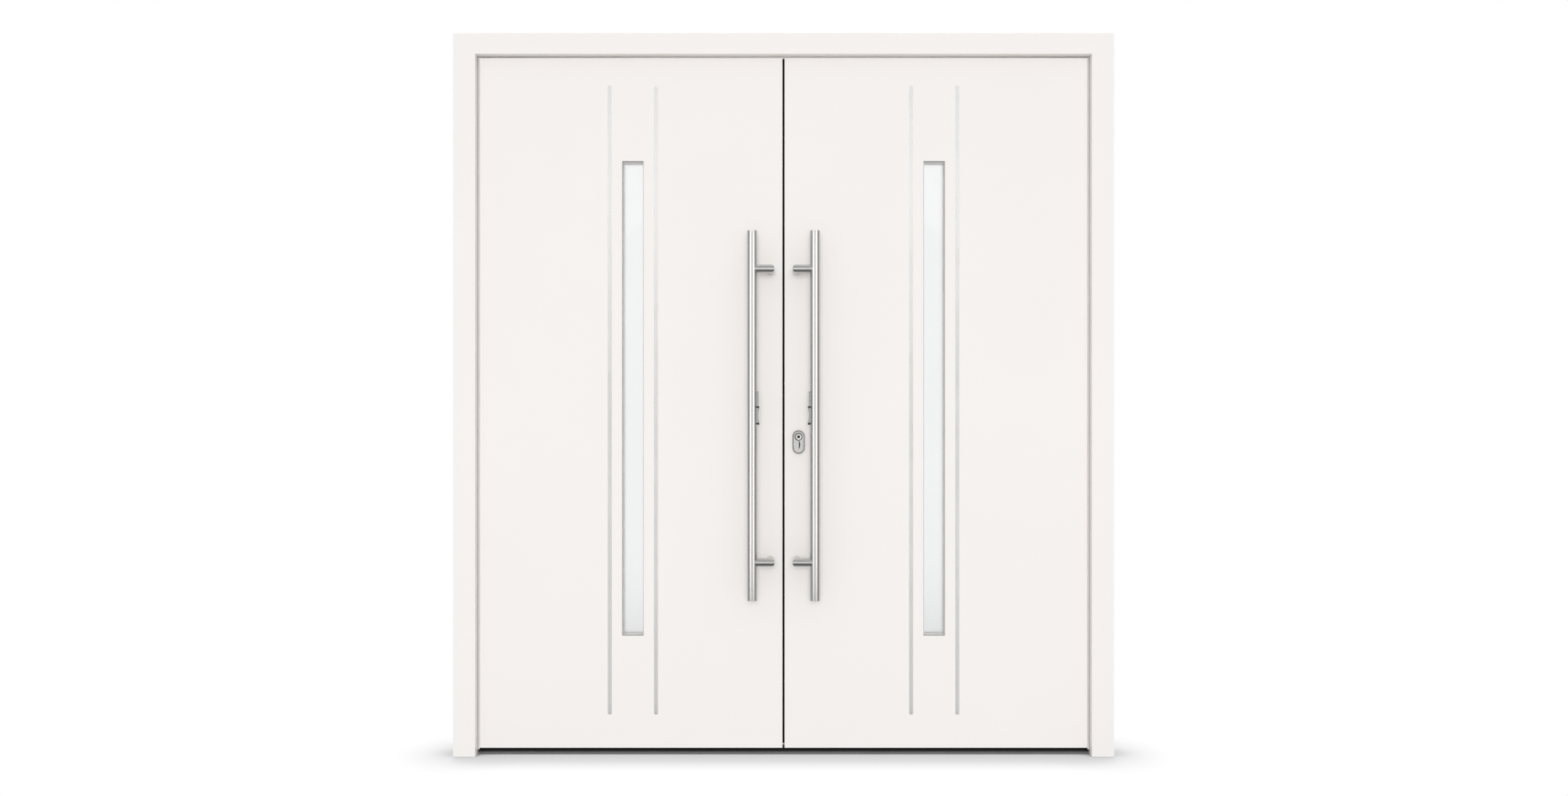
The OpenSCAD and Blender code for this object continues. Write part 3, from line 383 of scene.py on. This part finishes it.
def drive_screws(name, body, places, seed, material):
    """One piece with a screw head at each (point, outward direction, head radius)."""
    holes = bpy.data.meshes.new(name + "_holes")
    holes.from_pydata([point for point, _, _ in places], [], [])
    holes.attributes.new("facing", "FLOAT_VECTOR", "POINT")
    holes.attributes.new("size", "FLOAT", "POINT")
    for i, (_, direction, radius) in enumerate(places):
        holes.attributes["facing"].data[i].vector = direction
        holes.attributes["size"].data[i].value = radius
    head = screw_head(name + "_head")
    screws = grow(name, holes, screw_tree, Head=head, Seed=seed, Finish=material)
    bpy.data.objects.remove(head)
    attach(screws, body)


inward, downward = (0.0, 1.0, 0.0), (0.0, 0.0, -1.0)
wing_y, wing_screw_r, wing_pitch = 0.049, 0.0048, 0.037
hinge_heights = (0.250, 1.0817, 1.9134)
wing_rows = [middle + step for middle in hinge_heights for step in (-wing_pitch, 0.0, wing_pitch)]
frame_wing_x, leaf_wing_x = 0.978, 0.927
keep_x, keep_y, keep_z, keep_reach, keep_screw_r = -0.01425, 0.019, 2.1459, 0.030, 0.0035
frame_screws = []
for sign in (-1, 1):
    frame_screws += [((sign * frame_wing_x, wing_y, z), inward, wing_screw_r) for z in wing_rows]
for step in (-keep_reach, keep_reach):
    frame_screws.append(((keep_x + step, keep_y, keep_z), downward, keep_screw_r))
drive_screws("frame_screws", "frame", frame_screws, 3, turned_steel)
for side, sign, seed in (("left", -1, 4), ("right", 1, 6)):
    places = [((sign * leaf_wing_x, wing_y, z), inward, wing_screw_r) for z in wing_rows]
    drive_screws(side + "_hinge_screws", side + "_leaf", places, seed, turned_steel)


# Leaves: a thick outer panel with the glass cut-out, stiles and rails round a foam core, a thin inner panel.
# All faces have the same powder coat as the frame; the core shows only where a leaf is cut open.
def draw_foam(place):
    cells = place.node("ShaderNodeTexVoronoi", {}, {"Vector": place, "Scale": 420.0})
    cloud = place.noise(12.0, 2.0)
    colour = cloud.between((0.80, 0.72, 0.50), (0.88, 0.82, 0.62))
    return place.skin(colour, 0.86 + 0.1 * cells, place.relief(cells, 0.5, 0.0008))


cut_foam = finish("cut_foam", draw_foam)
for side in ("left", "right"):
    dress(powder_coat, side + "_outer_panel", side + "_leaf_frame", side + "_inner_panel")
    dress(powder_coat, side + "_glazing_bead")
    dress(cut_foam, side + "_core")


# Glass: a sealed unit of two panes in each leaf, etched on the inner face of the front pane only,
# with a bright aluminium spacer between them up to the sight line, held by a bead from the inside.
# A thin wedge of pale rubber runs round the pane; a slim grey line round the front of the cut-out is painted
# shade, the dark outline that shade draws round the glass.
etched_y, etched_near = 0.008, 0.0005


def draw_etched_glass(place):
    etched = abs(place.axis("Y") - etched_y) < etched_near
    frost = place.noise(900.0, 2.0)
    drift = place.noise(3.0, 1.0)
    colour = drift.between((0.955, 0.96, 0.958), (0.975, 0.98, 0.978))
    rough = 0.02 + etched * (0.30 + 0.10 * frost)
    bumps = place.relief(frost * etched, 0.05, 0.0001)
    return place.skin(colour, rough, bumps, transmission_weight=1.0, ior=1.45)


def draw_spacer(place):
    holes = place.node("ShaderNodeTexVoronoi", {}, {"Vector": place, "Scale": 260.0})
    colour = holes.between((0.88, 0.88, 0.875), (0.95, 0.95, 0.945))
    return place.skin(colour, 0.06 + 0.06 * holes, place.relief(holes, 0.02, 0.0001), metallic=1.0)


etched_glass = finish("etched_glass", draw_etched_glass)
spacer_metal = finish("spacer_metal", draw_spacer)
# Painted shade: a grey strip round the front edge of the cut-out, for the shade line round the glass.
shade_line_finish = finish("grey_shade_line", draw_rubber((0.22, 0.22, 0.215), (0.30, 0.30, 0.295)))
sight_x, sight_w, sight_z0, sight_z1 = 0.4587, 0.065, 0.362, 1.808
front_wedge = [(0.1, 0.05), (0.1, 1.4), (0.7, 1.6), (2.2, 0.8), (2.9, 0.05)]
spacer_section = [(-7.9, -11.9), (-7.9, -0.6), (-7.3, 0.0), (7.3, 0.0), (7.9, -0.6), (7.9, -11.9)]
shade_line_section = [(-0.2, 0.05), (-0.2, 0.8), (-0.5, 1.1), (-1.6, 1.1), (-1.6, 0.05)]
panel_y, front_y, between_y = -0.020, 0.004, 0.016


def round_glass(name, side, section, y, material):
    """Section taken once round the sight line of the glass of one leaf."""
    middle = sight_x if side == "right" else -sight_x
    low_x, high_x = middle - sight_w / 2, middle + sight_w / 2
    corners = ((low_x, sight_z0), (low_x, sight_z1), (high_x, sight_z1), (high_x, sight_z0))
    piece = sweep_seal(side + name, section, [(x, y, z) for x, z in corners], True, material)
    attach(piece, side + "_leaf")
    return piece


for side in ("left", "right"):
    dress(etched_glass, side + "_glass_panes")
    bright_spacer = round_glass(
        "_bright_spacer", side, spacer_section, between_y, spacer_metal
    )
    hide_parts(side + "_glass_spacer")
    round_glass("_glazing_wedge", side, front_wedge, front_y, pale_rubber)
    round_glass("_glass_edging", side, shade_line_section, panel_y, shade_line_finish)


# Inlay strips: two to a leaf, flat stainless steel with round ends, one on each side of the glass.
# They are polished lengthwise and glued into shallow grooves, a little below the face of the panel.
strip_low, strip_high = (0.86, 0.86, 0.855), (0.92, 0.92, 0.915)
polished_strip = finish(
    "steel_polished_strip", draw_satin_steel((900.0, 900.0, 4.0), strip_low, strip_high, 0.08)
)
for side in ("left", "right"):
    dress(polished_strip, side + "_inlay_strips")


# Pull bars: stainless tubes with plugged ends, each on two mitred elbow arms bolted through the leaf.
# The tube is ground lengthwise, the arms along their own run.
tube_low, tube_high = (0.46, 0.455, 0.448), (0.55, 0.545, 0.538)
arm_low, arm_high = (0.52, 0.515, 0.507), (0.60, 0.595, 0.587)
long_steel = finish("steel_ground_tube", draw_satin_steel((1500.0, 1500.0, 5.0), tube_low, tube_high, 0.10))
arm_steel = finish("steel_ground_arm", draw_satin_steel((6.0, 1500.0, 1500.0), arm_low, arm_high, 0.11))
for side in ("left", "right"):
    dress(long_steel, side + "_pull_bar")
    dress(turned_steel, side + "_bar_caps", side + "_bar_bolts")
    dress(arm_steel, side + "_bar_arms")


# Finger readers: small moulded housings saddled on the inner side of each bar, grey with a thin upper half.
# The lower half is a smooth hollow for the finger between two ridges, rougher than the shell and painted near
# black as painted shade on their small end faces.
upper_ridge_z, lower_ridge_z, ridge_half = 1.0588, 1.0088, 0.0028
hollow_z = (upper_ridge_z + lower_ridge_z) / 2
hollow_half = (upper_ridge_z - lower_ridge_z) / 2 - ridge_half
# Painted shade: the two ridges are coloured near black for the shade on their end faces.
ridge_painted_shade = (0.035, 0.034, 0.034, 1.0)


def draw_reader(place):
    height = place.axis("Z")
    upper_ridge = abs(height - upper_ridge_z) < ridge_half
    lower_ridge = abs(height - lower_ridge_z) < ridge_half
    in_ridge = upper_ridge + lower_ridge
    in_hollow = abs(height - hollow_z) < hollow_half
    spark = place.noise(1800.0, 1.0)
    shell = spark.between((0.33, 0.33, 0.327), (0.38, 0.38, 0.377))
    rough = 0.40 - 0.18 * in_hollow + 0.15 * in_ridge + 0.08 * spark
    return place.skin(in_ridge.mixed(shell, ridge_painted_shade), rough, place.relief(spark, 0.15, 0.0002))


reader_shell = finish("reader_shell", draw_reader)
for side in ("left", "right"):
    dress(reader_shell, side + "_finger_reader")


# Lock: a mortise case with its long faceplate in the right leaf, strike plates and flush bolts in the left.
# Steel plates let in flush, brushed upright; the bolts are turned or milled and slide in them.
dress(upright_steel, "lock_faceplate", "strike_plates", "flush_bolt_plates", "lock_case")
dress(turned_steel, "latch_bolt", "dead_bolt", "auxiliary_bolts", "top_flush_bolt", "bottom_flush_bolt")
edge_x, plate_y, edge_screw_r = 0.00325, 0.019, 0.0036
faceplate_rows = (0.215, 0.48, 0.76, 0.90, 1.13, 1.40, 1.62, 1.885)
passive_rows = (0.173, 0.274, 0.300, 0.360, 0.982, 1.094, 1.740, 1.800, 1.8894, 1.9904)
for name, body, sign, rows_z, seed in (
    ("faceplate_screws", "right_leaf", 1, faceplate_rows, 11),
    ("passive_edge_screws", "left_leaf", -1, passive_rows, 12),
):
    places = [((sign * edge_x, plate_y, z), (-sign, 0.0, 0.0), edge_screw_r) for z in rows_z]
    drive_screws(name, body, places, seed, turned_steel)


# Cylinder and escutcheon: a nickel-plated profile cylinder in an oval steel shield with a bevelled rim.
# The dish round the cylinder, the sunk crescent for the finger and the key entry are painted shade: dark
# colour in these recesses, the dish a little lighter. The bevelled rim is coloured darker than the field, the
# field between them is brushed bright, and screws from the inside hold the shield.
shield_x, shield_low_z, shield_high_z, field_r = 0.0458, 0.935, 0.969, 0.0150
sunk_y, entry_y, entry_back_y = -0.0276, -0.0255, 0.0300
entry_painted_shade, rim_dark = (0.012, 0.012, 0.012, 1.0), (0.27, 0.265, 0.26, 1.0)
plug_z, dish_r, shade_disc_r = 0.968, 0.0127, 0.0047


def draw_nickel(place):
    haze = place.noise(180.0, 3.0)
    depth = place.axis("Y")
    aside, rise = place.axis("X") - shield_x, place.axis("Z") - plug_z
    # Painted shade: the keyway and a disc at the middle of the plug face are coloured near black for the shade
    # in the key entry.
    shade_disc = (aside * aside + rise * rise < shade_disc_r * shade_disc_r) * (depth < entry_y)
    entry_shade = shade_disc + (depth > entry_y) * (depth < entry_back_y)
    plated = haze.between((0.74, 0.73, 0.70), (0.86, 0.85, 0.82))
    rough = 0.20 + 0.14 * haze + 0.3 * entry_shade
    colour = entry_shade.mixed(plated, entry_painted_shade)
    return place.skin(colour, rough, place.relief(haze, 0.05, 0.0001), 1.0 - entry_shade)


def draw_shield(place):
    grain = place.noise(1.0, 2.0, upright_grain)
    aside = place.axis("X") - shield_x
    height = place.axis("Z")
    above = place.math("MAXIMUM", height - shield_high_z, 0.0)
    beyond = above + place.math("MAXIMUM", shield_low_z - height, 0.0)
    in_field = aside * aside + beyond * beyond < field_r * field_r
    sunk = in_field * (place.axis("Y") > sunk_y)
    from_plug = height - plug_z
    in_dish = aside * aside + from_plug * from_plug < dish_r * dish_r
    # Painted shade: the sunk parts are coloured near black, and the dish round the plug dark grey.
    shade_tint = 0.020 + 0.090 * in_dish
    recess_painted_shade = place.node("ShaderNodeCombineXYZ", {}, {"X": shade_tint, "Y": shade_tint, "Z": shade_tint})
    rimmed = in_field.mixed(rim_dark, grain.between(plate_low, plate_high))
    rough = 0.20 + 0.10 * grain + 0.25 * sunk
    return place.skin(sunk.mixed(rimmed, recess_painted_shade), rough, place.relief(grain, 0.04, 0.0001), 1.0 - 0.6 * sunk)


nickel = finish("satin_nickel", draw_nickel)
shield_steel = finish("shield_steel", draw_shield)
dress(nickel, "lock_cylinder", "key_plug")
dress(shield_steel, "outer_escutcheon")


# Inside handle: a long steel plate with a lever on a square spindle, and a thumb turn on the cylinder.
# Two screws hold the plate to the leaf; the lever is ground along its length.
lever_high = (0.62, 0.615, 0.605)
across_steel = finish(
    "steel_ground_lever", draw_satin_steel((6.0, 1400.0, 1400.0), plate_low, lever_high, 0.20)
)
dress(upright_steel, "inside_handle_plate", "thumb_turn")
dress(across_steel, "inside_lever", "lever_spindle")
handle_x, handle_face_y, handle_rows = 0.0458, 0.053, (0.9225, 1.0955)
places = [((handle_x, handle_face_y, z), inward, edge_screw_r) for z in handle_rows]
drive_screws("handle_plate_screws", "right_leaf", places, 13, turned_steel)


# Floor: a plain pale studio floor, white to the camera except for the soft contact shadow round the door.
# It throws light up at the door. Metal sees it pale to the sides and dark close to the door and in
# front of its middle, so that the undersides of the round arms stay dark.
floor_half, floor_z, floor_bounce, floor_in_glass = 2.6, -0.0005, 0.66, 0.84
near_y, far_y, middle_x, side_x, near_in_metal, far_in_metal = 0.34, 0.52, 0.26, 0.38, 0.18, 0.66
shadow_reach, shadow_samples = 0.18, 24
shadow_stops = ((0.0, 0.01), (0.2, 0.20), (0.45, 0.58), (0.75, 0.75), (0.9, 0.91), (1.0, 1.0))


def draw_floor(place):
    open_sky = place.node(
        "ShaderNodeAmbientOcclusion", {"samples": shadow_samples}, {"Distance": shadow_reach}, out="AO"
    )
    stops = [(value, (grey, grey, grey, 1.0)) for value, grey in shadow_stops]
    shade = place.node("ShaderNodeValToRGB", {"stops": stops}, {0: open_sky})
    white = place.node("ShaderNodeEmission", {}, {"Color": shade, "Strength": 1.0})
    bounce = place.node("ShaderNodeEmission", {}, {"Strength": floor_bounce})
    forward = abs(place.axis("Y")).ramp(near_y, far_y)
    sideways = abs(place.axis("X")).ramp(middle_x, side_x)
    in_metal = near_in_metal + (far_in_metal - near_in_metal) * forward * sideways
    grey = place.node("ShaderNodeEmission", {}, {"Color": in_metal, "Strength": 1.0})
    behind_glass = place.node("ShaderNodeEmission", {}, {"Strength": floor_in_glass})
    mirrored = place.node("ShaderNodeLightPath", out="Is Glossy Ray")
    passed = place.node("ShaderNodeLightPath", out="Is Transmission Ray")
    seen = place.node("ShaderNodeLightPath", out="Is Camera Ray")
    lit = place.node("ShaderNodeMixShader", {}, {0: mirrored, 1: bounce, 2: grey})
    unseen = place.node("ShaderNodeMixShader", {}, {0: passed, 1: lit, 2: behind_glass})
    return place.node("ShaderNodeMixShader", {}, {0: seen, 1: unseen, 2: white})


floor_corners = ((-1, -1), (1, -1), (1, 1), (-1, 1))
floor_mesh = bpy.data.meshes.new("floor")
floor_mesh.from_pydata(
    [(sx * floor_half, sy * floor_half, floor_z) for sx, sy in floor_corners], [], [(0, 1, 2, 3)]
)
floor_mesh.materials.append(finish("studio_floor", draw_floor))
floor = into_scene("floor", floor_mesh)


# Studio light: a white surround, brighter from above, and a large soft lamp in front of and behind the door.
# Polished metal sees a bright card by the camera, bright screens to both sides and dark flags beyond them,
# so that round steel keeps its shape, and glass mirrors the sloping edge of a canopy.
world = bpy.data.worlds.new("studio")
bpy.context.scene.world = world
world.use_nodes = True
world.node_tree.nodes.clear()
sky = Tone(world.node_tree)
way = sky.node("ShaderNodeTexCoord", out="Generated")
across, along, up = abs(way.axis("X")), abs(way.axis("Y")), way.axis("Z")
turn = sky.math("ARCTAN2", across, along)
flags = turn.ramp(0.86, 1.06)
screens = turn.ramp(0.19, 0.33) * (1.0 - flags)
card = (1.0 - turn.ramp(0.03, 0.05)) * (1.0 - abs(up).ramp(0.34, 0.58))
shelf = up.ramp(0.0, 0.08) * (1.0 - up.ramp(0.16, 0.21))
overhead = 1.0 - 0.28 * up.ramp(0.12, 0.50)
below = 1.0 - 0.85 * (0.0 - up).ramp(0.10, 0.60)

canopy_slope, canopy_height, canopy_soft = 0.86, 0.237, 0.004
glass_turn, glass_half_turn = 0.12, 0.0095
over_edge = (up + canopy_slope * across - canopy_height * along).ramp(-canopy_soft, canopy_soft)
canopy = over_edge * (abs(across - glass_turn * along) < glass_half_turn * along)

room_level, shelf_gain, card_gain, screen_gain, flag_loss = 0.66, 0.12, 0.95, 1.48, 0.28
room = room_level + shelf_gain * shelf + card_gain * card + screen_gain * screens - flag_loss * flags
front = room * overhead * below + canopy
fill_level, fill_from_above, fill_step = 0.54, 0.46, 0.06
fill = fill_level + (up > 0.0) * (fill_from_above * up - fill_step)

direct = sky.node("ShaderNodeLightPath", out="Is Camera Ray")
seen = direct + sky.node("ShaderNodeLightPath", out="Is Transmission Ray")
mirrored = sky.node("ShaderNodeLightPath", out="Is Glossy Ray")
level = seen + (1.0 - seen) * (mirrored * front + (1.0 - mirrored) * fill)
surround = sky.node("ShaderNodeBackground", {}, {"Color": (1.0, 1.0, 1.0, 1.0), "Strength": level})
sky.node("ShaderNodeOutputWorld", {}, {"Surface": surround})


def soft_lamp(name, place, aim, size, strength):
    lamp = bpy.data.lights.new(name, "AREA")
    lamp.shape = "RECTANGLE"
    lamp.size, lamp.size_y = size
    lamp.energy = strength * math.pi * size[0] * size[1]
    holder = into_scene(name, lamp)
    holder.location = place
    holder.visible_glossy = False
    holder.visible_transmission = False
    towards = [a - b for a, b in zip(aim, place)]
    flat = math.hypot(towards[0], towards[1])
    holder.rotation_euler = (math.atan2(flat, -towards[2]), 0.0, math.atan2(-towards[0], towards[1]))


door_middle, lamp_size = (0.0, 0.0, 1.1), (3.0, 3.0)
soft_lamp("front_lamp", (0.0, -8.0, 1.9), door_middle, lamp_size, 9.1)
soft_lamp("back_lamp", (0.0, 8.0, 2.5), door_middle, lamp_size, 8.0)


# Camera: level and square to the door, at half its height and a little under four metres away,
# with a wide lens that leaves white on both sides of the frame.
eye = bpy.data.cameras.new("camera")
eye.lens = 28.84
eye.sensor_width = 36.0
eye.shift_x = 0.0003
camera = into_scene("camera", eye)
camera.location = (0.0, -3.845, 1.086)
camera.rotation_euler = (math.pi / 2, 0.0, 0.0)
bpy.context.scene.camera = camera
bpy.context.scene.view_settings.view_transform = "Standard"
